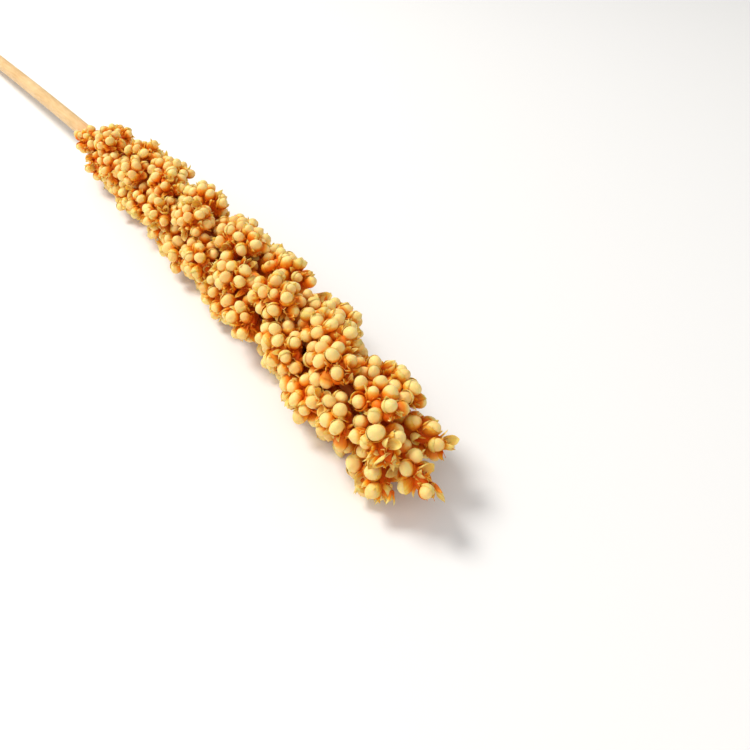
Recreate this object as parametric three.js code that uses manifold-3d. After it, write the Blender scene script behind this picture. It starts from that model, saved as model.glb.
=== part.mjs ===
// A dried sorghum seed head, cut with its stem and lying on its side.
// Millimetres, +Z up. +X runs from the cut end of the stem to the tip of the head, and Z = 0 is the
// surface that it lies on. The stem runs on through the head as its central axis, and every seed
// branch grows from that axis, slanting towards the tip, as a club of seeds in their husks.
import * as THREE from "three";
import { mergeVertices } from "three/addons/utils/BufferGeometryUtils.js";
import Module from "manifold-3d";

const wasm = await Module();
wasm.setup();

// Driving dimensions
const stemLength = 330; // bare stem, from the cut to the lowest seed branch
const headLength = 262; // from the lowest seed branch to the last seed
const stemRadius = 3.9; // at the cut
const neckRadius = 3.3; // where the head begins
const axisTipRadius = 0.9; // at the end of the central axis
const widestRadius = 15.3; // of the head, over the seeds
const branchCount = 57; // side branches, without the one at the tip
const pieceGap = 0.3; // kept between neighbouring pieces

// The head's radius over the seeds, as a share of the widest: at its base, then at even steps to
// its tip
const headOutline = [0.74, 0.82, 0.88, 0.94, 0.98, 1.0, 1.0, 1.0, 0.98, 0.84, 0.55];

// Branch shape
const branchButtRadius = 0.8; // where a branch leaves the axis
const clubRadiusShare = 0.5; // a club's radius, of the head's radius there
const clubCapLength = 2.2; // the rounded end's length, of the club's radius
const baseSlant = THREE.MathUtils.degToRad(24); // from the axis, at the base of the head
const tipSlant = THREE.MathUtils.degToRad(17); // and near its tip
const firstBranchAt = 0.01; // along the head
const lastBranchAt = 0.87;
const tipBranchAt = 0.89; // the branch that carries on from the axis
const tipClubShare = 0.62; // its club's radius, of the head's radius at the tip
const goldenAngle = Math.PI * (3 - Math.sqrt(5));
const seedKnob = 0.55; // how far the seeds stand proud of a club's smooth shape
const aroundClub = 8; // sides of a club
const aroundStem = 12; // sides of the stem
const stemRings = 32;

const up = new THREE.Vector3(0, 0, 1);
const lerp = THREE.MathUtils.lerp;

// Repeatable small differences between branches
let seed = 20;
function vary(spread) {
  seed = (seed * 16807) % 2147483647;
  return ((seed / 2147483647) * 2 - 1) * spread;
}

// The line that the stem and the head's axis follow, bowed to one side: low at the cut end, which
// rests on the surface, and highest under the widest part of the head.
const spine = new THREE.CatmullRomCurve3(
  [
    [-stemLength, -16, stemRadius + 0.05],
    [-0.66 * stemLength, -10.5, 6.9],
    [-0.32 * stemLength, -5.5, 9.9],
    [0, -1.8, 12.4],
    [0.3 * headLength, 0.9, 13.5],
    [0.6 * headLength, 0.6, 13.9],
    [0.85 * headLength, -2.8, 13.1],
    [headLength, -6.5, 12.0],
  ].map(([x, y, z]) => new THREE.Vector3(x, y, z)),
  false,
  "catmullrom",
  0.5,
);
const spineLength = spine.getLength();
const headStart = stemLength / (stemLength + headLength);

// A place on the axis: its point, the way it runs, and two directions square to that
function axisFrame(share) {
  const point = spine.getPointAt(share);
  const along = spine.getTangentAt(share);
  const side = new THREE.Vector3().crossVectors(up, along).normalize();
  const over = new THREE.Vector3().crossVectors(along, side);
  return { point, along, side, over };
}

const onHead = (along) => lerp(headStart, 1, along);
const axisRadiusAt = (along) => lerp(neckRadius, axisTipRadius, along);

function headRadiusAt(along) {
  const step = THREE.MathUtils.clamp(along, 0, 0.9999) * (headOutline.length - 1);
  const low = Math.floor(step);
  return widestRadius * lerp(headOutline[low], headOutline[low + 1], step - low);
}

// A geometry placed by a matrix, as a solid
function solidOf(geometry, matrix) {
  const placed = geometry.clone().applyMatrix4(matrix);
  placed.deleteAttribute("normal");
  placed.deleteAttribute("uv");
  const merged = mergeVertices(placed, 1e-4);
  return new wasm.Manifold(
    new wasm.Mesh({
      numProp: 3,
      vertProperties: new Float32Array(merged.attributes.position.array),
      triVerts: new Uint32Array(merged.index.array),
    }),
  );
}

// A solid as a geometry in the frame of a matrix
function geometryOf(solid, matrix) {
  const made = solid.getMesh();
  const geometry = new THREE.BufferGeometry()
    .setAttribute("position", new THREE.BufferAttribute(new Float32Array(made.vertProperties), 3))
    .setIndex(new THREE.BufferAttribute(new Uint32Array(made.triVerts), 1))
    .applyMatrix4(matrix.clone().invert());
  geometry.computeVertexNormals();
  return geometry;
}

// The biggest body of a solid, without the crumbs that a cut can leave
function largestOf(solid) {
  return solid.decompose().sort((a, b) => b.volume() - a.volume())[0];
}

const materials = {
  stem: new THREE.MeshStandardMaterial({ color: 0xe3c58c, roughness: 0.62, metalness: 0 }),
  seeds: new THREE.MeshStandardMaterial({ color: 0xf0b45c, roughness: 0.55, metalness: 0 }),
};

// The stem and the central axis in one grown piece, turned as a straight taper and bent along the
// spine. extra makes the fatter copy that the branches are cut with.
function stemGeometry(extra) {
  const outline = [new THREE.Vector2(0, 0)];
  for (let ring = 0; ring <= stemRings; ring++) {
    const share = ring / stemRings;
    const bare = Math.min(share / headStart, 1);
    const inHead = Math.max((share - headStart) / (1 - headStart), 0);
    const radius = inHead > 0 ? axisRadiusAt(inHead) : lerp(stemRadius, neckRadius, bare);
    outline.push(new THREE.Vector2(radius + extra, share));
  }
  const endOfAxis = 1 - 14 / spineLength; // the branch at the tip carries on from here
  outline.push(new THREE.Vector2(0, 1));
  const geometry = new THREE.LatheGeometry(outline, aroundStem);
  const at = geometry.attributes.position;
  for (let i = 0; i < at.count; i++) {
    const share = at.getY(i) * endOfAxis;
    const { point, side, over } = axisFrame(share);
    point.addScaledVector(over, at.getX(i)).addScaledVector(side, at.getZ(i));
    at.setXYZ(i, point.x, point.y, point.z);
  }
  return geometry;
}

// A club of seeds: a thin butt that swells to its widest at reach and closes in a rounded end,
// with knobs where the seeds stand
function clubGeometry(reach, radius, extra) {
  const cap = radius * clubCapLength;
  const wide = radius + extra;
  const outline = [new THREE.Vector2(0, -extra)];
  for (const share of [0, 0.4, 0.72]) {
    const swell = share * share * (3 - 2 * share);
    const ringRadius = lerp(branchButtRadius, radius, swell) + extra;
    outline.push(new THREE.Vector2(ringRadius, share * reach - (share === 0 ? extra : 0)));
  }
  for (const turn of [0, 28, 56]) {
    const angle = THREE.MathUtils.degToRad(turn);
    outline.push(new THREE.Vector2(wide * Math.cos(angle), reach + (cap + extra) * Math.sin(angle)));
  }
  outline.push(new THREE.Vector2(0, reach + cap + extra));
  const geometry = new THREE.LatheGeometry(outline, aroundClub);
  const at = geometry.attributes.position;
  const rings = outline.length;
  for (let i = 0; i < at.count; i++) {
    const column = Math.floor(i / rings);
    const ring = i % rings;
    const out = Math.hypot(at.getX(i), at.getZ(i));
    if (ring < 3 || ring > rings - 2) continue;
    const knob = 1 + ((column + ring) % 2 ? seedKnob : -seedKnob) / out;
    at.setX(i, at.getX(i) * knob);
    at.setZ(i, at.getZ(i) * knob);
  }
  return geometry;
}

// How far along the head each branch starts: closer together where the head is slimmer
function branchStarts() {
  const steps = 400;
  const running = [0];
  for (let i = 0; i < steps; i++) {
    const along = lerp(firstBranchAt, lastBranchAt, (i + 0.5) / steps);
    running.push(running[i] + 1 / headRadiusAt(along));
  }
  return Array.from({ length: branchCount }, (_, k) => {
    const wanted = (running[steps] * k) / (branchCount - 1);
    const i = Math.max(running.findIndex((sum) => sum >= wanted), 0);
    return lerp(firstBranchAt, lastBranchAt, i / steps);
  });
}

// One side branch before its neighbours are cut from it: where it is, and its solids
function sideBranch(index, start) {
  const frame = axisFrame(onHead(start));
  const turn = index * goldenAngle + vary(0.16);
  const outward = frame.side.multiplyScalar(Math.cos(turn)).addScaledVector(frame.over, Math.sin(turn));
  const slant = lerp(baseSlant, tipSlant, start) + vary(0.05);
  const way = frame.along.multiplyScalar(Math.cos(slant)).addScaledVector(outward, Math.sin(slant));
  const butt = axisRadiusAt(start) + pieceGap;
  const reachAlong = (12 * Math.cos(slant)) / headLength;
  const around = headRadiusAt(start + reachAlong) * (1 + vary(0.045));
  const radius = around * clubRadiusShare * (1 + vary(0.05));
  const reach = Math.max((around - radius - butt) / Math.sin(slant), radius * 0.9);
  const from = frame.point.addScaledVector(outward, butt);
  return clubAt(from, way, reach, radius);
}

// The branch that ends the head, in line with the axis
function tipBranch() {
  const frame = axisFrame(onHead(tipBranchAt));
  const radius = headRadiusAt(1) * tipClubShare;
  const reach = headLength * (1 - tipBranchAt) - radius * clubCapLength;
  return clubAt(frame.point, frame.along, reach, radius);
}

function clubAt(from, way, reach, radius) {
  const turned = new THREE.Quaternion().setFromUnitVectors(new THREE.Vector3(0, 1, 0), way);
  const matrix = new THREE.Matrix4().compose(from, turned, new THREE.Vector3(1, 1, 1));
  return {
    matrix,
    solid: solidOf(clubGeometry(reach, radius, 0), matrix),
    fatter: solidOf(clubGeometry(reach, radius, pieceGap), matrix),
  };
}

function namedMesh(name, geometry, material, matrix) {
  const mesh = new THREE.Mesh(geometry, material);
  mesh.name = name;
  matrix.decompose(mesh.position, mesh.quaternion, mesh.scale);
  return mesh;
}

const head = new THREE.Group();
const still = new THREE.Matrix4();
head.add(namedMesh("stem", stemGeometry(0), materials.stem, still));

const fatterStem = solidOf(stemGeometry(pieceGap), still);
const groundDepth = 20;
const ground = solidOf(
  new THREE.BoxGeometry(3 * headLength, 6 * widestRadius, groundDepth),
  new THREE.Matrix4().makeTranslation(0, 0, -groundDepth / 2),
);
const branches = branchStarts().map((start, index) => sideBranch(index, start));
branches.push(tipBranch());
branches.forEach((branch, index) => {
  // Each branch lies under the tips of the ones that start nearer the stem, and none goes below
  // the surface that the head lies on.
  let solid = branch.solid.subtract(fatterStem).subtract(ground);
  for (const earlier of branches.slice(Math.max(index - 16, 0), index))
    solid = solid.subtract(earlier.fatter);
  const isTip = index === branches.length - 1;
  const name = isTip ? "seed_branch_tip" : "seed_branch_" + String(index + 1).padStart(2, "0");
  const geometry = geometryOf(largestOf(solid), branch.matrix);
  head.add(namedMesh(name, geometry, materials.seeds, branch.matrix));
});

// The part's origin: below the middle of the whole piece, on the surface that it lies on
const whole = new THREE.Box3().setFromObject(head, true);
const middle = whole.getCenter(new THREE.Vector3());
head.position.set(-middle.x, -middle.y, -whole.min.z);

export default head;
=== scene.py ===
import math

import bpy
import numpy as np
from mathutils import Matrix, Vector
from mathutils.bvhtree import BVHTree
from mathutils.kdtree import KDTree


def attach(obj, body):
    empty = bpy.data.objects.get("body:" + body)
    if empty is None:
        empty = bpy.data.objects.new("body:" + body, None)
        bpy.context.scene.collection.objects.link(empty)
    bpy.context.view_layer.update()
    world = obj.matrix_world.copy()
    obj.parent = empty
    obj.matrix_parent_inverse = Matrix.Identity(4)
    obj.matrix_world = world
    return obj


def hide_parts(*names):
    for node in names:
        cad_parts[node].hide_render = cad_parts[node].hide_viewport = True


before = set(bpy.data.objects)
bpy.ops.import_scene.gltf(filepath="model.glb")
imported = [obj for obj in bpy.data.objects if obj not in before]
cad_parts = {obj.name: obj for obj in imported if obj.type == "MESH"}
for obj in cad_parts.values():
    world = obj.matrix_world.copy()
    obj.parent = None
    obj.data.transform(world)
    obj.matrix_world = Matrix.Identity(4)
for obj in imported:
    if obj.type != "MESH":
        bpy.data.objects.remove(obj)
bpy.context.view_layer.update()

mm = 0.001  # lengths below are in millimetres, and each mesh is scaled to metres as it is made
rng = np.random.default_rng(41)
up = np.array([0.0, 0.0, 1.0])


def unit(vectors):
    return vectors / np.maximum(np.linalg.norm(vectors, axis=-1, keepdims=True), 1e-9)


def blend(low, high, share):
    return low + (high - low) * share


def tint(red, green, blue):  # a screen colour of 0 to 255, as a shader wants it
    return tuple(
        v / 12.92 if v <= 0.04045 else ((v + 0.055) / 1.055) ** 2.4
        for v in (red / 255, green / 255, blue / 255)
    ) + (1.0,)


# A node's output, which adds, takes away and multiplies as a number does
class Wire:
    def __init__(self, paint, socket):
        self.paint = paint
        self.socket = socket

    def sum(self, operation, first, second):
        return self.paint.node("ShaderNodeMath", {"operation": operation}, {0: first, 1: second})

    def __add__(self, other):
        return self.sum("ADD", self, other)

    def __radd__(self, other):
        return self.sum("ADD", other, self)

    def __sub__(self, other):
        return self.sum("SUBTRACT", self, other)

    def __rsub__(self, other):
        return self.sum("SUBTRACT", other, self)

    def __mul__(self, other):
        return self.sum("MULTIPLY", self, other)

    def __rmul__(self, other):
        return self.sum("MULTIPLY", other, self)


# A material in the making
class Paint:
    def __init__(self, name):
        self.material = bpy.data.materials.new(name)
        self.material.use_nodes = True
        self.tree = self.material.node_tree
        self.tree.nodes.clear()

    # Any node: its settings first, then what goes into its sockets
    def node(self, kind, settings=None, sockets=None, output=0):
        made = self.tree.nodes.new(kind)
        for name, value in (settings or {}).items():
            if name == "stops":
                self.setStops(made.color_ramp, value)
            else:
                setattr(made, name, value)
        for key, value in (sockets or {}).items():
            socket = made.inputs[key]
            if isinstance(value, Wire):
                self.tree.links.new(value.socket, socket)
            else:
                socket.default_value = value
        return Wire(self, made.outputs[output]) if made.outputs else None

    def setStops(self, ramp, stops):
        while len(ramp.elements) < len(stops):
            ramp.elements.new(0.5)
        for element, (place, colour) in zip(ramp.elements, stops):
            element.position = place
            element.color = colour

    def ramp(self, value, stops):
        return self.node("ShaderNodeValToRGB", {"stops": stops}, {0: value})

    def mix(self, share, first, second):
        return self.node(
            "ShaderNodeMix", {"data_type": "RGBA"}, {0: share, 6: first, 7: second}, output=2
        )

    def between(self, value, low, high, toLow=0.0, toHigh=1.0):
        return self.node(
            "ShaderNodeMapRange", {}, {0: value, 1: low, 2: high, 3: toLow, 4: toHigh}
        )

    def attribute(self, name, asVector=False):
        return self.node(
            "ShaderNodeAttribute", {"attribute_name": name}, output=1 if asVector else 2
        )

    def noise(self, where, scale, detail=2.0, rough=0.5):
        return self.node(
            "ShaderNodeTexNoise",
            {},
            {"Vector": where, "Scale": scale, "Detail": detail, "Roughness": rough},
        )

    def bump(self, height, strength, distance):
        return self.node(
            "ShaderNodeBump", {}, {"Height": height, "Strength": strength, "Distance": distance}
        )

    def finish(self, colour, roughness, normal, fixed=None):
        sockets = {"Base Color": colour, "Roughness": roughness, "Normal": normal}
        sockets.update(fixed or {})
        shader = self.node("ShaderNodeBsdfPrincipled", {}, sockets)
        self.node("ShaderNodeOutputMaterial", {}, {"Surface": shader})
        return self.material


def nodeMesh(name):
    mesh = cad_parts[name].data
    points = np.empty(len(mesh.vertices) * 3)
    mesh.vertices.foreach_get("co", points)
    mesh.calc_loop_triangles()
    corners = np.empty(len(mesh.loop_triangles) * 3, dtype=np.int32)
    mesh.loop_triangles.foreach_get("vertices", corners)
    return points.reshape(-1, 3) / mm, corners.reshape(-1, 3)


branchNames = sorted(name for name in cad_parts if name.startswith("seed_branch"))
branchMeshes = {name: nodeMesh(name) for name in branchNames}

ringGap = 4  # the stem's rings of points stand further apart than this


# The line of the stem and of the axis inside the head, ring by ring: x, y, z and radius
def stemLine():
    points, _ = nodeMesh("stem")
    points = points[np.argsort(points[:, 0])]
    rings = np.split(points, np.flatnonzero(np.diff(points[:, 0]) > ringGap) + 1)
    rows = []
    for ring in rings:
        low, high = ring.min(axis=0), ring.max(axis=0)
        rows.append([*(low + high) / 2, (high[1] - low[1]) / 2])
    return np.array(rows)


line = stemLine()


def axisAt(x):
    return np.stack([np.interp(x, line[:, 0], line[:, k]) for k in (1, 2)], axis=-1)


def fromAxis(points):  # which way each point stands from the head's axis
    away = points.copy()
    away[:, 1:] -= axisAt(points[:, 0])
    away[:, 0] = 0
    return unit(away)


headStart = min(points[:, 0].min() for points, _ in branchMeshes.values())
headEnd = max(points[:, 0].max() for points, _ in branchMeshes.values())
print("frame read:", len(branchNames), "branches, from", round(headStart), "to", round(headEnd))


spikelets = {
    "grainRadius": 1.96,
    "apart": 3.92,  # least distance between the middles of two outer grains
    "sunk": 1.25,  # middle of an outer grain below the branch's smooth shape
    "sunkSpread": 0.35,
    "sunkMost": 0.7,
    "innerSunk": 4.4,
    "innerApart": 3.05,
    "leastBuried": 2.6,
    "tries": 1.1,  # places tried for each square millimetre
    "flatShare": 0.55,  # how much a grain faces as its branch's side does
    "offShare": 0.45,  # and how much straight out from the branch's middle line
    "mostInward": -0.45,
    "rayLift": 0.4,
    "rayLength": 45,
    "leastOpen": 0.12,  # share of the sky that an outer grain sees
    "orderSpread": 0.25,
    "relaxRounds": 14,
    "relaxPush": 0.32,
    "relaxHome": 0.06,
    "relaxApart": 0.97,
    "lie": 1.72,  # least height of a grain's middle over the surface below
}


def scatterOn(points, corners, perArea):
    first, second, third = (points[corners[:, k]] for k in range(3))
    cross = np.cross(second - first, third - first)
    area = np.linalg.norm(cross, axis=1) / 2
    count = int(area.sum() * perArea)
    pick = rng.choice(len(corners), count, p=area / area.sum())
    across, along = rng.random((2, count, 1))
    over = across + along > 1
    across, along = np.where(over, 1 - across, across), np.where(over, 1 - along, along)
    spots = first[pick] + (second - first)[pick] * across + (third - first)[pick] * along
    return spots, unit(cross[pick])


def branchWay(points):  # the long direction of a branch, towards the head's tip
    centred = points - points.mean(axis=0)
    way = np.linalg.svd(centred, full_matrices=False)[2][0]
    return way if way[0] > 0 else -way


def skyDirections(count):
    turn = np.arange(count) * math.pi * (3 - math.sqrt(5))
    height = (np.arange(count) + 0.7) / count
    ring = np.sqrt(1 - height**2)
    return np.stack([ring * np.cos(turn), ring * np.sin(turn), height], axis=1)


def squareTo(facing):  # two directions square to each of these
    helper = np.where(np.abs(facing[:, :1]) < 0.8, [[1.0, 0, 0]], [[0, 1.0, 0]])
    side = unit(np.cross(helper, facing))
    return side, np.cross(facing, side)


allPoints = []
allCorners = []
for points, corners in branchMeshes.values():
    allCorners.append(corners + sum(len(p) for p in allPoints))
    allPoints.append(points)
branchTree = BVHTree.FromPolygons(
    np.concatenate(allPoints).tolist(), np.concatenate(allCorners).tolist()
)
sky = skyDirections(12)


# The share of the sky that each spot sees past the branches
def openShare(spots, facing):
    side, over = squareTo(facing)
    shares = np.empty(len(spots))
    for i, spot in enumerate(spots):
        start = Vector(spot + facing[i] * spikelets["rayLift"])
        rays = sky[:, :1] * side[i] + sky[:, 1:2] * over[i] + sky[:, 2:] * facing[i]
        hits = [branchTree.ray_cast(start, Vector(ray), spikelets["rayLength"])[0] for ray in rays]
        shares[i] = np.mean([hit is None for hit in hits])
    return shares


# Spots all over the branches that a grain could take
def candidates():
    rows = {"spot": [], "facing": [], "branch": [], "open": [], "way": []}
    for index, name in enumerate(branchNames):
        points, corners = branchMeshes[name]
        spots, flat = scatterOn(points, corners, spikelets["tries"])
        way = branchWay(points)
        middle = points.mean(axis=0)
        offLine = spots - middle
        offLine -= (offLine @ way)[:, None] * way
        facing = unit(flat * spikelets["flatShare"] + unit(offLine) * spikelets["offShare"])
        outward = fromAxis(spots)
        seen = (facing * outward).sum(axis=1) > spikelets["mostInward"]
        spots, facing = spots[seen], facing[seen]
        share = openShare(spots, facing)
        keep = share > spikelets["leastOpen"]
        rows["spot"].append(spots[keep])
        rows["facing"].append(facing[keep])
        rows["open"].append(share[keep])
        rows["branch"].append(np.full(keep.sum(), index))
        rows["way"].append(np.repeat(way[None], keep.sum(), axis=0))
    return {key: np.concatenate(value) for key, value in rows.items()}


# Takes places in order while they keep apart from each other and from those already taken
def takeApart(places, order, apart, taken=()):
    cells = {}

    def cellOf(place):
        return tuple(int(math.floor(v / apart)) for v in place)

    for place in taken:
        cells.setdefault(cellOf(place), []).append(place)
    chosen = []
    for i in order:
        place = places[i]
        cx, cy, cz = cellOf(place)
        near = [
            other
            for x in (cx - 1, cx, cx + 1)
            for y in (cy - 1, cy, cy + 1)
            for z in (cz - 1, cz, cz + 1)
            for other in cells.get((x, y, z), ())
        ]
        if near and (np.sum((np.array(near) - place) ** 2, axis=1) < apart * apart).any():
            continue
        cells.setdefault((cx, cy, cz), []).append(place)
        chosen.append(i)
    return np.array(chosen, dtype=int)


# Pushes places apart little by little, while each is drawn back to where it began
def relax(homes, apart):
    places = homes.copy()
    for _ in range(spikelets["relaxRounds"]):
        tree = KDTree(len(places))
        for i, place in enumerate(places):
            tree.insert(place, i)
        tree.balance()
        push = np.zeros_like(places)
        for i, place in enumerate(places):
            for other, j, gap in tree.find_range(place, apart):
                if j != i and gap > 1e-6:
                    away = (place - np.array(other)) / gap
                    push[i] += away * (apart - gap) * spikelets["relaxPush"]
        places += push + (homes - places) * spikelets["relaxHome"]
        places[:, 2] = np.maximum(places[:, 2], spikelets["lie"])
    return places


pool = candidates()
poolSize = len(pool["spot"])
sunkMost = spikelets["sunkMost"]
extraSunk = rng.normal(0, spikelets["sunkSpread"], poolSize).clip(-sunkMost, sunkMost)
outerPlaces = pool["spot"] - pool["facing"] * (spikelets["sunk"] + extraSunk)[:, None]
outerPlaces[:, 2] = np.maximum(outerPlaces[:, 2], spikelets["lie"])
order = np.argsort(-pool["open"] + rng.normal(0, spikelets["orderSpread"], poolSize))
outer = takeApart(outerPlaces, order, spikelets["apart"])
outerAt = relax(outerPlaces[outer], 2 * spikelets["grainRadius"] * spikelets["relaxApart"])

innerPlaces = pool["spot"] - pool["facing"] * spikelets["innerSunk"]
inner = takeApart(innerPlaces, rng.permutation(poolSize), spikelets["innerApart"], list(outerAt))
depths = [branchTree.find_nearest(Vector(place))[3] for place in innerPlaces[inner]]
inner = inner[np.array(depths) > spikelets["leastBuried"]]
innerAt = innerPlaces[inner]
print("grains:", len(outer), "outer,", len(inner), "inner")


# A closed little mesh in its own frame: base at -Z, tip at +Z
class Pattern:
    def __init__(self, points, faces, along, uv, across=0.0):
        self.points = np.array(points, dtype=float)
        self.sizes = np.array([len(face) for face in faces])
        self.loops = np.array([corner for face in faces for corner in face])
        self.along = np.array(along, dtype=float)
        self.across = np.zeros(len(self.points)) + across
        self.uv = np.array(uv, dtype=float)


grain = {
    "around": 14,
    "rings": 8,
    "flatness": 0.9,
    "heel": 1.16,  # the lower half is this much longer than the upper
    "heelTaper": 0.08,
    "beak": 0.1,
    "beakWidth": 0.3,
    "beakTop": 1.6,
}


def grainPattern(beaked):
    around, rings = grain["around"], grain["rings"]
    points, along, faces, uv = [(0, 0, -grain["heel"])], [0.0], [], []
    for ring in range(rings):
        polar = math.pi * (ring + 1) / (rings + 1)
        height, wide = -math.cos(polar), math.sin(polar)
        if height < 0:
            height *= grain["heel"]
            wide *= 1 - grain["heelTaper"] * height * height
        if beaked:
            height += grain["beak"] * math.exp(-((wide / grain["beakWidth"]) ** 2)) * (height > 0)
        for column in range(around):
            turn = 2 * math.pi * column / around
            points.append(
                (wide * math.cos(turn), wide * math.sin(turn) * grain["flatness"], height)
            )
            along.append((1 - math.cos(polar)) / 2)
    points.append((0, 0, 1 + grain["beak"] * grain["beakTop"] * beaked))
    along.append(1.0)
    top = len(points) - 1
    for column in range(around):
        following = (column + 1) % around
        left, right = column / around, (column + 1) / around
        faces.append((0, 1 + following, 1 + column))
        uv += [((left + right) / 2, 0), (right, 1 / (rings + 1)), (left, 1 / (rings + 1))]
        for ring in range(rings - 1):
            low, high = 1 + ring * around, 1 + (ring + 1) * around
            faces.append((low + column, low + following, high + following, high + column))
            below, above = (ring + 1) / (rings + 1), (ring + 2) / (rings + 1)
            uv += [(left, below), (right, below), (right, above), (left, above)]
        last = 1 + (rings - 1) * around
        faces.append((last + column, last + following, top))
        uv += [(left, rings / (rings + 1)), (right, rings / (rings + 1)), ((left + right) / 2, 1)]
    return Pattern(points, faces, along, uv)


# A thin closed shell over a grid of places: outside, inside, and a rim between them
def shellPattern(outside, inside, along, across):
    rows, columns = outside.shape[:2]
    count = rows * columns
    points = np.concatenate([outside.reshape(-1, 3), inside.reshape(-1, 3)])
    faces, uv = [], []

    def put(corners, places):
        faces.append(corners)
        uv.extend(places)

    for r in range(rows - 1):
        for c in range(columns - 1):
            a, b = r * columns + c, r * columns + c + 1
            d, e = a + columns, b + columns
            left, right = 0.5 * c / (columns - 1), 0.5 * (c + 1) / (columns - 1)
            low, high = r / (rows - 1), (r + 1) / (rows - 1)
            put((a, b, e, d), [(left, low), (right, low), (right, high), (left, high)])
            left, right = left + 0.5, right + 0.5
            put(
                (count + a, count + d, count + e, count + b),
                [(left, low), (left, high), (right, high), (right, low)],
            )
    rim = [(0, c) for c in range(columns - 1)]
    rim += [(r, columns - 1) for r in range(rows - 1)]
    rim += [(rows - 1, c) for c in range(columns - 1, 0, -1)]
    rim += [(r, 0) for r in range(rows - 1, 0, -1)]
    for (r0, c0), (r1, c1) in zip(rim, rim[1:] + rim[:1]):
        a, b = r0 * columns + c0, r1 * columns + c1
        near, far = (
            (0.5 * c / (columns - 1), r / (rows - 1)) for r, c in ((r0, c0), (r1, c1))
        )
        put((b, a, count + a, count + b), [far, near, near, far])
    along, across = (np.concatenate([values.ravel()] * 2) for values in (along, across))
    return Pattern(points, faces, along, uv, across)


# Angles are in degrees, and lengths are in grain radii
husk = {
    "columns": 11,
    "rows": 6,
    "spread": 92,  # how far it reaches round the grain to each side
    "footSpread": 0.75,
    "footAngle": 10,
    "sideDrop": 0.24,  # how much lower its lip is at the sides
    "cornerDrop": 0.1,
    "pointWidth": 0.22,
    "keel": 0.02,
    "keelWidth": 0.15,
    "gap": 0.012,
    "thickness": 0.07,
    "lipThickness": 0.5,
}


# One of the two cupped husk scales that hold a grain, around a grain of radius 1. The lip's height
# and its point's are angles from the foot, the flare opens the lip, and the lift clears the other
def huskPattern(lip, point, flare, lift):
    across = np.linspace(-1, 1, husk["columns"])[None, :]
    rise = np.linspace(0, 1, husk["rows"])[:, None]
    turn = np.radians(husk["spread"]) * across * blend(husk["footSpread"], 1, rise)
    edge = lip * (1 - husk["sideDrop"] * across**2 - husk["cornerDrop"] * across**4)
    edge = edge + point * np.exp(-((across / husk["pointWidth"]) ** 2))
    polar = np.radians(blend(husk["footAngle"], edge, rise))
    away = 1 + husk["gap"] + lift + flare * rise**4
    keel = 1 + husk["keel"] * np.exp(-((across / husk["keelWidth"]) ** 2)) * rise

    def surface(reach):
        wide = np.sin(polar) * reach * keel
        height = -np.cos(polar) * reach
        height = np.where(height < 0, height * grain["heel"], height)
        return np.stack([wide * np.cos(turn), wide * np.sin(turn), height + 0 * turn], axis=-1)

    taper = husk["thickness"] * blend(1.0, husk["lipThickness"], rise) + 0 * across
    outside, inside = surface(away + taper), surface(away + 0 * across)
    return shellPattern(outside, inside, rise + 0 * across, across + 0 * rise)


bract = {
    "rows": 8,
    "columns": 5,
    "width": 0.19,
    "widestAt": 0.9,
    "fullness": 0.62,
    "footWidth": 0.35,
    "tipWidth": 0.01,
    "thickness": 0.028,
    "thinning": 0.6,
    "shortening": 0.3,  # of a bent one
    "acrossShare": 0.4,
}


# A slim pointed scale, of length 1 from its foot, that bends towards +X
def bractPattern(bend, cup):
    rise = np.linspace(0, 1, bract["rows"])[:, None]
    across = np.linspace(-1, 1, bract["columns"])[None, :]
    belly = np.sin(math.pi * rise ** bract["widestAt"]) ** bract["fullness"]
    wide = bract["width"] * (belly + bract["footWidth"] * (1 - rise) ** 3)
    wide = wide + bract["tipWidth"]
    back = bend * rise**2 - cup * wide * across**2
    y = wide * across
    z = rise * (1 - bract["shortening"] * abs(bend)) + 0 * across
    outside = np.stack([back + 0 * across, y, z], axis=-1)
    inside = outside.copy()
    inside[..., 0] -= bract["thickness"] * (1 - bract["thinning"] * rise)
    across = across * bract["acrossShare"] + 0 * rise
    return shellPattern(outside, inside, rise + 0 * across, across)


twigTaper = 0.7


def twigPattern(sides, rings):  # a tapering tube of length 1 and radius 1 at its foot
    points, along, faces, uv = [], [], [], []
    for ring in range(rings):
        share = ring / (rings - 1)
        for side in range(sides):
            turn = 2 * math.pi * side / sides
            radius = blend(1, twigTaper, share)
            points.append((radius * math.cos(turn), radius * math.sin(turn), share))
            along.append(share)
    for side in range(sides):
        following = (side + 1) % sides
        left, right = side / sides, (side + 1) / sides
        for ring in range(rings - 1):
            low, high = ring * sides, (ring + 1) * sides
            faces.append((low + side, low + following, high + following, high + side))
            below, above = ring / (rings - 1), (ring + 1) / (rings - 1)
            uv += [(left, below), (right, below), (right, above), (left, above)]
    faces.append(tuple(range(sides))[::-1])
    uv += [(side / sides, 0.0) for side in range(sides)]
    faces.append(tuple((rings - 1) * sides + side for side in range(sides)))
    uv += [(side / sides, 1.0) for side in range(sides)]
    return Pattern(points, faces, along, uv)


grainPatterns = [grainPattern(False), grainPattern(True)]
nearHusks = [
    huskPattern(lip, point=8, flare=flare, lift=0.0)
    for lip, flare in ((106, 0.0), (121, 0.0), (138, 0.01))
]
farHusks = [
    huskPattern(lip, point=6, flare=flare, lift=0.035)
    for lip, flare in ((60, 0.0), (76, 0.0), (92, 0.01))
]
bractPatterns = [bractPattern(bend, cup) for bend, cup in ((0.1, 0.5), (0.28, 0.7), (-0.12, 0.6))]
twigShape = twigPattern(sides=5, rings=4)


# Painted shade with depth, on top of the dye: for each millimetre that a surface lies under the
# branch's smooth shape, it is painted a deeper orange, up to the most
soakingAndShading = {"perMm": 0.38, "most": 0.95}
packing = {"tile": 0.86, "margin": 0.07, "leastHeight": 0.03}


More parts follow.
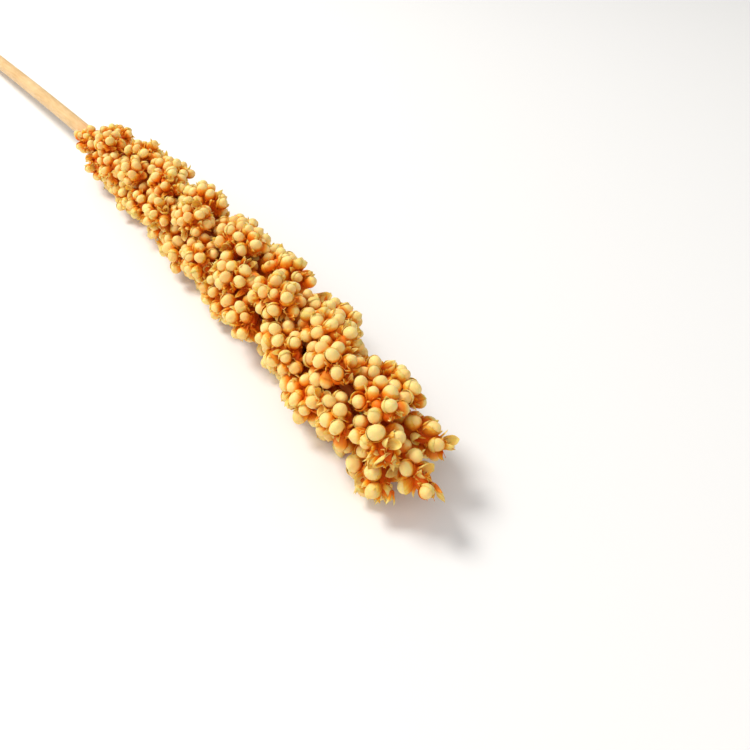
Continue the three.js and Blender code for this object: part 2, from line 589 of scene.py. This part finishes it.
# Copies of a pattern, gathered for one piece
class Copies:
    def __init__(self):
        self.sets = []
        self.count = 0

    # spots and facings say where the branch's smooth shape is: what lies under it is painted a
    # deeper orange, dye and painted shade together
    def add(self, pattern, places, frames, scales, tone, dye, spots, facings):
        if len(places) == 0:
            return
        sides, overs, tips = frames
        local = pattern.points[None] * scales[:, None, :]
        points = (
            places[:, None]
            + local[..., :1] * sides[:, None]
            + local[..., 1:2] * overs[:, None]
            + local[..., 2:] * tips[:, None]
        )
        height = ((points - spots[:, None]) * facings[:, None]).sum(axis=2)
        # Painted shade: the deeper a point lies under the branch's smooth shape, the deeper its
        # orange
        soakedAndShaded = dye[:, None] - height * soakingAndShading["perMm"]
        self.sets.append((pattern, points, tone, soakedAndShaded.clip(0, soakingAndShading["most"])))
        self.count += len(places)

    def build(self, name, material):
        tiles = math.ceil(math.sqrt(self.count))
        kinds = ("along", "across", "tone", "dye")
        parts = {key: [] for key in ("points", "loops", "sizes", "uv") + kinds}
        start = tile = 0
        for pattern, points, tone, soakedAndShaded in self.sets:
            copies, size = points.shape[:2]
            firsts = start + np.arange(copies)[:, None] * size
            parts["points"].append(points.reshape(-1, 3))
            parts["loops"].append((pattern.loops[None] + firsts).ravel())
            parts["sizes"].append(np.tile(pattern.sizes, copies))
            parts["along"].append(np.tile(pattern.along, copies))
            parts["across"].append(np.tile(pattern.across, copies))
            parts["tone"].append(np.repeat(tone, size))
            parts["dye"].append(soakedAndShaded.ravel())
            which = tile + np.arange(copies)
            corner = np.stack([which % tiles, which // tiles], axis=1)[:, None]
            inTile = pattern.uv[None] * packing["tile"] + packing["margin"]
            parts["uv"].append(((inTile + corner) / tiles).reshape(-1, 2))
            start += copies * size
            tile += copies
        joined = {key: np.concatenate(value) for key, value in parts.items()}
        points = joined["points"]
        points[:, 2] = np.maximum(points[:, 2], packing["leastHeight"])
        attributes = {key: joined[key] for key in kinds}
        shape = (points, joined["loops"], joined["sizes"], joined["uv"])
        return makePiece(name, shape, attributes, material)


def makePiece(name, shape, attributes, material):
    points, loops, sizes, uv = shape
    mesh = bpy.data.meshes.new(name)
    mesh.vertices.add(len(points))
    mesh.vertices.foreach_set("co", (points * mm).ravel())
    mesh.loops.add(len(loops))
    mesh.loops.foreach_set("vertex_index", loops.astype(np.int32))
    mesh.polygons.add(len(sizes))
    mesh.polygons.foreach_set("loop_start", (np.cumsum(sizes) - sizes).astype(np.int32))
    mesh.update(calc_edges=True)
    mesh.shade_smooth()
    layer = mesh.uv_layers.new(name="OFBake")
    layer.uv.foreach_set("vector", uv.ravel())
    for key, values in attributes.items():
        isVector = values.ndim == 2
        made = mesh.attributes.new(key, "FLOAT_VECTOR" if isVector else "FLOAT", "POINT")
        made.data.foreach_set("vector" if isVector else "value", values.ravel())
    mesh.materials.append(material)
    piece = bpy.data.objects.new(name, mesh)
    bpy.context.scene.collection.objects.link(piece)
    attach(piece, "root")
    return piece


# In the finishes, heights and the glow's scale are in metres. The ramp's colours run from dry to
# soaked, and their deep orange end also serves as painted shade in the hollows
grainSkin = {
    "dyed": [
        (0.0, tint(255, 223, 140)),
        (0.22, tint(253, 190, 80)),
        (0.55, tint(250, 144, 22)),
        (1.0, tint(232, 108, 6)),
    ],
    "dull": tint(242, 164, 70),
    "roughness": (0.36, 0.56),
    "blotchScale": 620,
    "fineScale": 4200,
    "patchScale": 55,
    "bumpHeight": 0.00025,
    "glow": {
        "Subsurface Weight": 0.3,
        "Subsurface Radius": (1.0, 0.36, 0.12),
        "Subsurface Scale": 0.0014,
        "Specular IOR Level": 0.25,
    },
}


def grainMaterial():
    paint = Paint("grain skin")
    where = paint.node("ShaderNodeTexCoord", output=3)
    along, tone, dye = (paint.attribute(name) for name in ("along", "tone", "dye"))
    blotch = paint.noise(where, grainSkin["blotchScale"], 3.0)
    fine = paint.noise(where, grainSkin["fineScale"], 2.0)
    patch = paint.noise(where, grainSkin["patchScale"], 2.0)
    # Painted shade: the lower part of each grain is painted deeper orange, on top of the
    # dye-and-shade value from the mesh; the noises are blotches of dye
    soakedAndShaded = dye + (blotch - 0.5) * 0.45 + (patch - 0.5) * 0.35 + (0.45 - along) * 0.35
    coloured = paint.ramp(soakedAndShaded, grainSkin["dyed"])
    dull = paint.between(tone + (blotch - 0.5) * 0.5, 0.55, 1.1, 0.0, 0.4)
    coloured = paint.mix(dull, coloured, grainSkin["dull"])
    low, high = grainSkin["roughness"]
    roughness = paint.between(blotch * 0.6 + fine * 0.4, 0.3, 0.7, low, high)
    normal = paint.bump(fine * 0.4 + blotch, 0.6, grainSkin["bumpHeight"])
    return paint.finish(coloured, roughness, normal, grainSkin["glow"])


huskPaper = {
    "dyed": [
        (0.0, tint(255, 218, 124)),
        (0.22, tint(253, 186, 68)),
        (0.55, tint(250, 142, 18)),
        (1.0, tint(226, 100, 6)),
    ],
    "dull": tint(244, 166, 58),
    "roughness": (0.42, 0.68),
    "blotchScale": 760,
    "fineScale": 5200,
    "patchScale": 55,
    "veinsAcross": 5.5,
    "veinsAlong": 0.8,
    "veinsApart": 40.0,  # so that no two husks have the same veins
    "bumpHeight": 0.00025,
    "glow": {
        "Subsurface Weight": 0.3,
        "Subsurface Radius": (1.0, 0.4, 0.12),
        "Subsurface Scale": 0.001,
        "Specular IOR Level": 0.22,
    },
}


def huskMaterial():
    paint = Paint("husk paper")
    where = paint.node("ShaderNodeTexCoord", output=3)
    along, across = paint.attribute("along"), paint.attribute("across")
    tone, dye = paint.attribute("tone"), paint.attribute("dye")
    blotch = paint.noise(where, huskPaper["blotchScale"], 3.0)
    fine = paint.noise(where, huskPaper["fineScale"], 3.0, 0.6)
    patch = paint.noise(where, huskPaper["patchScale"], 2.0)
    # Painted shade: the husk's lip is painted deeper orange, for the shaded line along its edge
    lip = paint.between(along, 0.84, 1.0, 0.0, 0.25)
    lengthwise = paint.node(
        "ShaderNodeCombineXYZ",
        {},
        {
            0: across * huskPaper["veinsAcross"],
            1: along * huskPaper["veinsAlong"],
            2: tone * huskPaper["veinsApart"],
        },
    )
    veins = paint.noise(lengthwise, 1.0, 1.0)
    # Painted shade: the lower part of each husk is painted deeper orange, and so is its lip
    soakedAndShaded = dye + (blotch - 0.5) * 0.3 + (patch - 0.5) * 0.35 + (0.55 - along) * 0.45 + lip
    soakedAndShaded = soakedAndShaded + (veins - 0.5) * 0.5
    coloured = paint.ramp(soakedAndShaded, huskPaper["dyed"])
    dull = paint.between(tone + (fine - 0.5) * 0.6, 0.5, 1.1, 0.0, 0.25)
    coloured = paint.mix(dull, coloured, huskPaper["dull"])
    low, high = huskPaper["roughness"]
    roughness = paint.between(fine, 0.3, 0.7, low, high)
    normal = paint.bump(fine * 0.5 + veins, 0.6, huskPaper["bumpHeight"])
    return paint.finish(coloured, roughness, normal, huskPaper["glow"])


strawRind = {
    "pale": tint(240, 203, 145),
    "straw": tint(214, 169, 104),
    "streak": tint(172, 119, 58),
    "dyed": tint(238, 130, 30),
    "pith": tint(250, 236, 204),
    "streakScale": 2.6,
    "fineScale": 9.0,
    "blotchScale": 70,
    "crumbScale": 2400,
    "bumpHeight": 0.00025,
    "glow": {
        "Subsurface Weight": 0.05,
        "Subsurface Radius": (1.0, 0.6, 0.3),
        "Subsurface Scale": 0.001,
    },
}


def stemMaterial():
    paint = Paint("straw rind")
    lengthwise = paint.attribute("lengthwise", asVector=True)
    dye, pith = paint.attribute("dye"), paint.attribute("pith")
    where = paint.node("ShaderNodeTexCoord", output=3)
    streaks = paint.noise(lengthwise, strawRind["streakScale"], 4.0, 0.62)
    fine = paint.noise(lengthwise, strawRind["fineScale"], 3.0, 0.6)
    blotch = paint.noise(where, strawRind["blotchScale"], 3.0)
    ripe = paint.between(streaks + (blotch - 0.5) * 0.8, 0.3, 0.75)
    body = paint.mix(ripe, strawRind["pale"], strawRind["straw"])
    body = paint.mix(paint.between(fine, 0.56, 0.8, 0.0, 0.7), body, strawRind["streak"])
    soakedAndShaded = paint.between(dye + (streaks - 0.5) * 0.5, 0.1, 1.1)
    body = paint.mix(soakedAndShaded, body, strawRind["dyed"])
    crumb = paint.noise(where, strawRind["crumbScale"], 3.0, 0.7)
    body = paint.mix(pith * (1.1 - crumb * 0.6), body, strawRind["pith"])
    roughness = paint.between(streaks * 0.5 + fine * 0.5 + pith, 0.3, 1.3, 0.34, 0.9)
    relief = streaks + fine * 0.6 + pith * crumb * 2.0
    normal = paint.bump(relief, 0.7, strawRind["bumpHeight"])
    return paint.finish(body, roughness, normal, strawRind["glow"])


materials = {"grain": grainMaterial(), "husk": huskMaterial(), "stem": stemMaterial()}
print("finishes mixed")


spread = {
    "tilt": 0.42,
    "lean": 1.0,  # how much a grain points along its branch
    "sizeAtBase": 0.93,
    "sizeAtTip": 1.03,
    "sizeSpread": 0.06,
    "leastSize": 0.86,
    "mostSize": 1.12,
    "stretch": 1.18,
    "squeeze": 0.05,
    "leastSqueeze": 0.88,
    "mostSqueeze": 1.08,
    "beakedShare": 0.3,
    "emptyShare": 0.05,
    "emptyAtTip": 0.8,
    "emptyFrom": 11 / 12,  # along the head
    "emptyLean": 1.4,
    "emptyWidth": 0.68,
    "emptyLength": 1.2,
    "emptyPale": 2.2,  # an empty pair of husks gets the lighter painted shade of one standing this much higher
    "emptyDye": 0.25,  # and this much dye is taken off
    "emptyGape": (0.06, 0.3),
    "gapeShare": 0.06,
    "gape": (0.04, 0.15),
    "scaleGape": (0.6, 1.1),
    "scaleTurn": 0.12,
    "scaleTone": 0.15,
    "huskDye": 0.12,
    "innerSize": 0.9,
    "innerDye": 0.2,
}

# How much dye and painted shade a spikelet takes, before its depth is counted
shading = {"shade": 0.42, "perOpen": 0.6, "baseUpTo": 0.3, "perBase": 0.4, "spread": 0.1}


def turned(sides, overs, angle):
    cos, sin = np.cos(angle)[:, None], np.sin(angle)[:, None]
    return sides * cos + overs * sin, overs * cos - sides * sin


# Tips a set of frames about their own X direction
def tipped(overs, tips, angle):
    cos, sin = np.cos(angle)[:, None], np.sin(angle)[:, None]
    return overs * cos + tips * sin, tips * cos - overs * sin


def alongHead(points):
    return ((points[:, 0] - headStart) / (headEnd - headStart)).clip(0, 1)


def turnedAnyWay(tips):
    sides, overs = squareTo(tips)
    return turned(sides, overs, rng.uniform(0, 2 * math.pi, len(tips)))


def spikeletFrames(facing, way, lean):
    tips = unit(facing + way * lean + rng.normal(0, spread["tilt"], facing.shape))
    return *turnedAnyWay(tips), tips


# The less open a spot is, the more painted shade it gets; the head's base gets more dye and
# painted shade
def shadeDye(which):
    low = (shading["baseUpTo"] - alongHead(pool["spot"][which])).clip(0, 1)
    dye = shading["shade"] - pool["open"][which] * shading["perOpen"] + low * shading["perBase"]
    return dye + rng.normal(0, shading["spread"], len(which))


grainSize = spikelets["grainRadius"] * blend(
    spread["sizeAtBase"], spread["sizeAtTip"], alongHead(outerAt)
)
outerCount = len(outer)
grainSize *= rng.normal(1, spread["sizeSpread"], outerCount).clip(
    spread["leastSize"], spread["mostSize"]
)
outerBranch = pool["branch"][outer]
outerTone = rng.random(outerCount)
outerDyeAndShade = shadeDye(outer)
outerSpot, outerFacing = pool["spot"][outer], pool["facing"][outer]
nearTip = ((alongHead(outerAt) - spread["emptyFrom"]) / (1 - spread["emptyFrom"])).clip(0, 1)
isEmpty = rng.random(outerCount) < blend(spread["emptyShare"], spread["emptyAtTip"], nearTip)
outerDyeAndShade -= np.where(isEmpty, spread["emptyDye"], 0)
outerSides, outerOvers, outerTips = spikeletFrames(
    outerFacing,
    pool["way"][outer],
    np.where(isEmpty, spread["emptyLean"], spread["lean"])[:, None],
)
gapes = rng.random(outerCount) < spread["gapeShare"]
gape = np.where(gapes, rng.uniform(*spread["gape"], outerCount), 0)
gape = np.where(isEmpty, rng.uniform(*spread["emptyGape"], outerCount), gape)
huskKind = rng.integers(0, len(nearHusks), outerCount)
beaked = rng.random(outerCount) < spread["beakedShare"]

innerBranch = pool["branch"][inner]
innerSides, innerOvers, innerTips = spikeletFrames(
    pool["facing"][inner], pool["way"][inner], spread["lean"]
)
innerTone = rng.random(len(inner))


# Scales stand where the grains leave room
tufts = {
    "apart": 2.3,
    "fromGrain": 2.2,
    "length": (3.0, 4.3),
    "count": (1, 3),
    "surfaceSunk": 0.8,
    "leastHeight": 1.2,
    "rootSunk": 3.7,
    "rootSpread": 0.25,
    "leastRoot": 0.5,
    "facing": 0.9,
    "way": 0.55,
    "middleSpread": 0.25,
    "tipSpread": 0.2,
    "paleness": 0.1,
    "hairShare": 0.4,
    "hairWay": 0.6,
    "hairSpread": 0.45,
    "hairDye": 0.3,
    "hairLength": (2.8, 4.0),
    "hairRadius": 0.1,
}

grainTree = KDTree(len(outerAt))
for i, place in enumerate(outerAt):
    grainTree.insert(place, i)
grainTree.balance()


def tuftPlaces():
    surface = pool["spot"] - pool["facing"] * tufts["surfaceSunk"]
    room = np.array([grainTree.find(spot)[2] for spot in surface])
    high = surface[:, 2] > tufts["leastHeight"]
    free = np.flatnonzero((room > tufts["fromGrain"]) & high)
    return takeApart(surface, rng.permutation(free), tufts["apart"])


tuft = tuftPlaces()
print("tufts of scales:", len(tuft))


def twigScales(radius, lengths):
    return np.stack([np.full(len(lengths), radius)] * 2 + [lengths], axis=1)


def addGrains(copies, branch):
    full = (outerBranch == branch) & ~isEmpty
    for kind, pattern in enumerate(grainPatterns):
        mask = full & (beaked == bool(kind))
        squeezed = rng.normal(1, spread["squeeze"], (mask.sum(), 3))
        squeezed = squeezed.clip(spread["leastSqueeze"], spread["mostSqueeze"])
        scales = grainSize[mask][:, None] * squeezed
        scales[:, 2] *= spread["stretch"]
        copies.add(
            pattern,
            outerAt[mask],
            (outerSides[mask], outerOvers[mask], outerTips[mask]),
            scales,
            outerTone[mask],
            outerDyeAndShade[mask],
            outerSpot[mask],
            outerFacing[mask],
        )
    mask = innerBranch == branch
    scales = np.full((mask.sum(), 3), spikelets["grainRadius"] * spread["innerSize"])
    copies.add(
        grainPatterns[0],
        innerAt[mask],
        (innerSides[mask], innerOvers[mask], innerTips[mask]),
        scales,
        innerTone[mask],
        np.full(mask.sum(), spread["innerDye"]),
        pool["spot"][inner][mask],
        pool["facing"][inner][mask],
    )


def addHusks(copies, branch):
    for kind in range(len(nearHusks)):
        mask = (outerBranch == branch) & (huskKind == kind)
        count = mask.sum()
        size = grainSize[mask][:, None] * np.array([[1, 1, spread["stretch"]]])
        foot = outerAt[mask] - outerTips[mask] * size[:, 2:] * grain["heel"]
        size[isEmpty[mask]] *= (spread["emptyWidth"], spread["emptyWidth"], spread["emptyLength"])
        lowered = outerFacing[mask] * isEmpty[mask][:, None] * spread["emptyPale"]
        for patterns, turnBy in ((nearHusks, 0.0), (farHusks, math.pi)):
            angle = turnBy + rng.normal(0, spread["scaleTurn"], count)
            sides, overs = turned(outerSides[mask], outerOvers[mask], angle)
            # Scales open by turning about their foot
            opened = -gape[mask] * rng.uniform(*spread["scaleGape"], count)
            sides, tips = tipped(sides, unit(outerTips[mask]), opened)
            tone = outerTone[mask] + rng.normal(0, spread["scaleTone"], count)
            copies.add(
                patterns[kind],
                foot + tips * size[:, 2:] * grain["heel"],
                (sides, overs, tips),
                size,
                tone.clip(0, 1),
                outerDyeAndShade[mask] + spread["huskDye"],
                outerSpot[mask] - lowered,
                outerFacing[mask],
            )


# Slim scales, each of the kind that was picked for it
def addBracts(copies, kinds, foot, frames, length, dye, spots, facings):
    for kind, pattern in enumerate(bractPatterns):
        take = kinds == kind
        copies.add(
            pattern,
            foot[take],
            tuple(ways[take] for ways in frames),
            length[take][:, None] * np.ones((1, 3)),
            rng.random(take.sum()),
            dye[take],
            spots[take],
            facings[take],
        )


def addTufts(copies, branch):
    here = tuft[pool["branch"][tuft] == branch]
    low, high = tufts["count"]
    counts = rng.integers(low, high + 1, len(here))
    which = np.repeat(here, counts)
    if len(which) == 0:
        return
    facing, way = pool["facing"][which], pool["way"][which]
    middle = np.repeat(rng.normal(0, tufts["middleSpread"], (len(here), 3)), counts, axis=0)
    around = rng.normal(0, tufts["tipSpread"], facing.shape)
    tips = unit(facing * tufts["facing"] + way * tufts["way"] + middle + around)
    sides, overs = turnedAnyWay(tips)
    foot = pool["spot"][which] - facing * tufts["rootSunk"]
    foot += rng.normal(0, tufts["rootSpread"], facing.shape)
    foot[:, 2] = np.maximum(foot[:, 2], tufts["leastRoot"])
    length = rng.uniform(*tufts["length"], len(which))
    kinds = rng.integers(0, len(bractPatterns), len(which))
    dye = shadeDye(which) - tufts["paleness"]
    spots = pool["spot"][which]
    addBracts(copies, kinds, foot, (sides, overs, tips), length, dye, spots, facing)
    hairs = rng.random(len(which)) < tufts["hairShare"]
    around = rng.normal(0, tufts["hairSpread"], facing.shape)
    ways = unit(facing + way * tufts["hairWay"] + around)[hairs]
    lengths = rng.uniform(*tufts["hairLength"], hairs.sum())
    copies.add(
        twigShape,
        foot[hairs],
        (*squareTo(ways), ways),
        twigScales(tufts["hairRadius"], lengths),
        rng.random(len(lengths)),
        np.full(len(lengths), tufts["hairDye"]),
        spots[hairs],
        facing[hairs],
    )


# Slim scales that stand up against the side of a grain
companions = {
    "perGrain": 1.2,
    "most": 2,
    "length": (2.7, 4.1),
    "foot": 0.8,
    "leastFoot": 0.5,
    "lean": 0.14,
    "leanSpread": 0.12,
}


def addCompanions(copies, branch):
    here = np.flatnonzero(outerBranch == branch)
    most = companions["most"]
    chances = companions["perGrain"] / most * np.ones(len(here))
    which = np.repeat(here, rng.binomial(most, chances))
    size = grainSize[which][:, None]
    turn = rng.uniform(0, 2 * math.pi, len(which))
    away, _ = turned(outerSides[which], outerOvers[which], turn)
    around = rng.normal(0, companions["leanSpread"], away.shape)
    tips = unit(outerTips[which] + away * companions["lean"] + around)
    sides = unit(away - tips * (away * tips).sum(axis=1, keepdims=True))
    overs = np.cross(tips, sides)
    foot = outerAt[which] - outerTips[which] * size + away * size * companions["foot"]
    foot[:, 2] = np.maximum(foot[:, 2], companions["leastFoot"])
    length = rng.uniform(*companions["length"], len(which))
    kinds = rng.integers(0, len(bractPatterns), len(which))
    frames = (sides, overs, tips)
    dye, spots, facings = outerDyeAndShade[which], outerSpot[which], outerFacing[which]
    addBracts(copies, kinds, foot, frames, length, dye, spots, facings)


twigs = {
    "stalkRadius": 0.24,
    "stalkReach": 5.5,
    "stalkSpread": 0.5,
    "stalkDye": 0.4,
    "mainRadius": 0.6,
    "mainLength": 0.8,  # share of the branch's length
    "mainDye": 0.9,
    "mainTone": 0.5,
}


# A thin stalk under each grain, back to the branch's own twig
def addTwigs(copies, branch):
    points, _ = branchMeshes[branchNames[branch]]
    way = branchWay(points)
    middle = points.mean(axis=0)
    mask = outerBranch == branch
    start = outerAt[mask] - outerTips[mask] * grainSize[mask][:, None]
    run = ((outerAt[mask] - middle) @ way) - twigs["stalkReach"]
    goal = middle + run[:, None] * way + rng.normal(0, twigs["stalkSpread"], start.shape)
    reach = start - goal
    length = np.linalg.norm(reach, axis=1)
    tips = reach / length[:, None]
    copies.add(
        twigShape,
        goal,
        (*squareTo(tips), tips),
        twigScales(twigs["stalkRadius"], length),
        rng.random(len(length)),
        np.full(len(length), twigs["stalkDye"]),
        outerSpot[mask],
        outerFacing[mask],
    )
    spans = (points - middle) @ way
    foot = middle + way * spans.min()
    mainLength = (spans.max() - spans.min()) * twigs["mainLength"]
    copies.add(
        twigShape,
        foot[None],
        (*squareTo(way[None]), way[None]),
        twigScales(twigs["mainRadius"], np.array([mainLength])),
        np.array([twigs["mainTone"]]),
        np.array([twigs["mainDye"]]),
        foot[None],
        up[None],
    )


# The tangle of chaff inside a branch, under its grains: a slimmer copy of the branch's shape
chaff = {
    "width": 0.44,
    "length": 0.86,
    "along": 0.3,
    "deep": 100.0,
    "dye": 1.0,
    "tone": 0.5,
    "tileMargin": 0.1,
}


def chaffPattern(points, corners, way):
    middle = points.mean(axis=0)
    reach = ((points - middle) @ way)[:, None] * way
    slim = middle + reach * chaff["length"] + (points - middle - reach) * chaff["width"]
    cells = math.ceil(math.sqrt(len(corners)))
    place = np.arange(len(corners))
    corner = np.stack([place % cells, place // cells], axis=1)[:, None]
    near, far = chaff["tileMargin"], 1 - chaff["tileMargin"]
    uv = (corner + np.array([[near, near], [far, near], [near, far]])) / cells
    along = np.full(len(points), chaff["along"])
    return Pattern(slim, corners.tolist(), along, uv.reshape(-1, 2))


def addChaff(copies, branch):
    points, corners = branchMeshes[branchNames[branch]]
    copies.add(
        chaffPattern(points, corners, branchWay(points)),
        np.zeros((1, 3)),
        tuple(np.eye(3)[k][None] for k in range(3)),
        np.ones((1, 3)),
        np.array([chaff["tone"]]),
        np.array([chaff["dye"]]),
        up[None] * chaff["deep"],  # far above it all, so that the chaff is painted the deepest orange of dye and painted shade
        up[None],
    )


for branch, name in enumerate(branchNames):
    label = name.replace("seed_branch_", "")
    grains = Copies()
    addGrains(grains, branch)
    husks = Copies()
    addHusks(husks, branch)
    addTufts(husks, branch)
    addCompanions(husks, branch)
    addTwigs(husks, branch)
    addChaff(husks, branch)
    grainPiece = grains.build("grains_" + label, materials["grain"])
    huskPiece = husks.build("husks_" + label, materials["husk"])
    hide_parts(name)
print("spikelets built on", len(branchNames), "branches")


stalk = {
    "around": 44,
    "step": 1.6,
    "fullness": 1.015,
    "ridges": 0.011,
    "ridgeSets": ((5, 0.4), (9, 2.1), (14, 4.0), (21, 1.2)),  # how many, and where they begin
    "ridgeTwist": 0.004,
    "oval": 0.02,
    "ovalTwist": 0.006,
    "rind": 0.82,
    "pithMiddle": 0.42,
    "pithDepth": 0.5,
    "middleDepth": 0.8,  # the middle of the pith stands a little prouder
    "centreDepth": 0.7,
    "tipShare": 0.4,
    "tipRun": (0.4, 0.6),
    "rindPith": 0.3,
    "dyeBefore": 26,  # the dye begins this far before the head, and is full after this run
    "dyeRun": 40,
    "flatAcross": 3.3,
    "flatAlong": 0.035,
}


def buildStem():
    runs = np.arange(line[0, 0], line[-1, 0], stalk["step"])
    centres = np.stack([runs, *axisAt(runs).T], axis=1)
    radii = np.interp(runs, line[:, 0], line[:, 3]) * stalk["fullness"]
    along = unit(np.gradient(centres, axis=0))
    sides, overs = squareTo(along)
    turns = np.arange(stalk["around"]) * 2 * math.pi / stalk["around"]
    ridge = sum(
        np.sin(turns[None] * many + begin + stalk["ridgeTwist"] * (many % 3 - 1) * runs[:, None])
        for many, begin in stalk["ridgeSets"]
    )
    oval = stalk["oval"] * np.cos(2 * turns[None] + runs[:, None] * stalk["ovalTwist"])
    radius = radii[:, None] * (1 + stalk["ridges"] * ridge / 2 + oval)
    cos, sin = np.cos(turns)[None, :, None], np.sin(turns)[None, :, None]
    ways = cos * sides[:, None] + sin * overs[:, None]
    rings = centres[:, None] + ways * radius[..., None]
    # The cut end: a rim of rind round a sunken pith
    inset = centres[0] + ways[0] * radius[0][:, None] * stalk["rind"]
    recess = inset + along[0] * stalk["pithDepth"]
    half = centres[0] + ways[0] * radius[0][:, None] * stalk["pithMiddle"]
    half = half + along[0] * stalk["pithDepth"] * stalk["middleDepth"]
    pithCentre = centres[0] + along[0] * stalk["pithDepth"] * stalk["centreDepth"]
    capRun, tipRun = stalk["tipRun"]
    cap = centres[-1] + ways[-1] * radius[-1][:, None] * stalk["tipShare"] + along[-1] * capRun
    tipCentre = centres[-1] + along[-1] * tipRun
    layers = [half, recess, inset, *rings, cap]
    pith = [1.0, 1.0, stalk["rindPith"]] + [0.0] * (len(rings) + 1)
    points = np.concatenate([*layers, np.array([pithCentre, tipCentre])])
    count, around = len(layers), stalk["around"]
    loops, sizes, uv = [], [], []
    for row in range(count - 1):
        for column in range(around):
            following = (column + 1) % around
            low, high = row * around, (row + 1) * around
            loops += [low + column, low + following, high + following, high + column]
            left, right = column / around, (column + 1) / around
            below, above = row / (count - 1), (row + 1) / (count - 1)
            uv += [(left, below), (right, below), (right, above), (left, above)]
            sizes.append(4)
    for column in range(around):
        following = (column + 1) % around
        left, right = column / around, (column + 1) / around
        loops += [count * around, following, column]
        uv += [((left + right) / 2, 0), (right, 0), (left, 0)]
        last = (count - 1) * around
        loops += [count * around + 1, last + column, last + following]
        uv += [((left + right) / 2, 1), (left, 1), (right, 1)]
        sizes += [3, 3]
    pithAt = np.concatenate([np.repeat(pith, around), [1.0, 0.0]])
    # Dye only, with no painted shade: the stem turns orange towards the head
    dye = ((points[:, 0] - headStart + stalk["dyeBefore"]) / stalk["dyeRun"]).clip(0, 1)
    flat = np.tile(np.stack([np.cos(turns), np.sin(turns)], axis=1), (count, 1))
    flat = np.concatenate([flat * stalk["flatAcross"], np.zeros((2, 2))])
    lengthwise = np.concatenate([flat, points[:, :1] * stalk["flatAlong"]], axis=1)
    attributes = {"lengthwise": lengthwise, "dye": dye, "pith": pithAt}
    points[:, 2] = np.maximum(points[:, 2], 0.0)
    shape = (points, np.array(loops), np.array(sizes), np.array(uv))
    piece = makePiece("stem_straw", shape, attributes, materials["stem"])
    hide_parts("stem")


buildStem()
print("stem built")


# Places and sizes here are in metres
studio = {
    "floorSize": 8.0,
    "floorSquares": 8,
    "floor": tint(246, 245, 243),
    "floorSpeck": tint(236, 234, 231),
    "speckScale": 300,
    "worldStrength": 0.45,
    "aim": (0.12, 0.0, 0.02),
    "keyPower": 12.5,
    "keyAt": (-0.52, -0.32, 1.03),
    "keySize": 0.5,
    "keyColour": (1, 0.98, 0.95),
    "fillPower": 4.0,
    "fillAt": (0.75, -0.6, 0.8),
    "fillSize": 1.2,
    "fillColour": (1, 1, 1),
}


def buildFloor():
    paint = Paint("white table top")
    where = paint.node("ShaderNodeTexCoord", output=3)
    specks = paint.noise(where, studio["speckScale"], 2.0)
    colour = paint.mix(specks * 0.06, studio["floor"], studio["floorSpeck"])
    roughness = paint.between(specks, 0.3, 0.7, 0.62, 0.7)
    material = paint.finish(colour, roughness, paint.bump(specks, 0.05, 0.0002))
    half, squares = studio["floorSize"] / 2, studio["floorSquares"]
    steps = np.linspace(-half, half, squares + 1)
    points = [(x, y, 0.0) for y in steps for x in steps]
    faces = []
    for row in range(squares):
        for column in range(squares):
            near = row * (squares + 1) + column
            far = near + squares + 1
            faces.append((near, near + 1, far + 1, far))
    mesh = bpy.data.meshes.new("table_top")
    mesh.from_pydata(points, [], faces)
    mesh.materials.append(material)
    floor = bpy.data.objects.new("table_top", mesh)
    bpy.context.scene.collection.objects.link(floor)


def softLight(name):
    light = bpy.data.lights.new(name, "AREA")
    light.shape = "DISK"
    light.size = studio[name + "Size"]
    light.energy = studio[name + "Power"]
    light.color = studio[name + "Colour"]
    lamp = bpy.data.objects.new(name, light)
    place = Vector(studio[name + "At"])
    lamp.location = place
    lamp.rotation_euler = (Vector(studio["aim"]) - place).to_track_quat("-Z", "Y").to_euler()
    bpy.context.scene.collection.objects.link(lamp)


def lightStudio():
    world = bpy.data.worlds.new("studio")
    bpy.context.scene.world = world
    world.use_nodes = True
    backdrop = world.node_tree.nodes["Background"]
    backdrop.inputs["Color"].default_value = (1.0, 1.0, 1.0, 1.0)
    backdrop.inputs["Strength"].default_value = studio["worldStrength"]
    softLight("key")
    softLight("fill")


view = {
    "azimuth": 55.6,
    "elevation": 39.3,
    "lens": 36.0,
    "sensor": 36.0,
    "nearest": 0.01,  # in metres
    # How far the head's end lies to the right of the view's middle, below it and in front
    "headEnd": (15.3, 28.6, 178.0),
}


def placeCamera():
    camera = bpy.data.cameras.new("camera")
    camera.sensor_width = view["sensor"]
    camera.lens = view["lens"]
    camera.clip_start = view["nearest"]
    holder = bpy.data.objects.new("camera", camera)
    turn, down = math.radians(view["azimuth"]), math.radians(view["elevation"])
    forward = Vector(
        (-math.sin(turn) * math.cos(down), math.cos(turn) * math.cos(down), -math.sin(down))
    )
    right = Vector((math.cos(turn), math.sin(turn), 0.0))
    below = forward.cross(right)
    end = Vector((headEnd, *axisAt(np.array([headEnd]))[0]))
    sideways, lower, ahead = view["headEnd"]
    holder.location = (end - right * sideways - below * lower - forward * ahead) * mm
    holder.rotation_euler = forward.to_track_quat("-Z", "Y").to_euler()
    bpy.context.scene.collection.objects.link(holder)
    bpy.context.scene.camera = holder
    bpy.context.scene.view_settings.view_transform = "Standard"


buildFloor()
lightStudio()
placeCamera()
print("studio set")
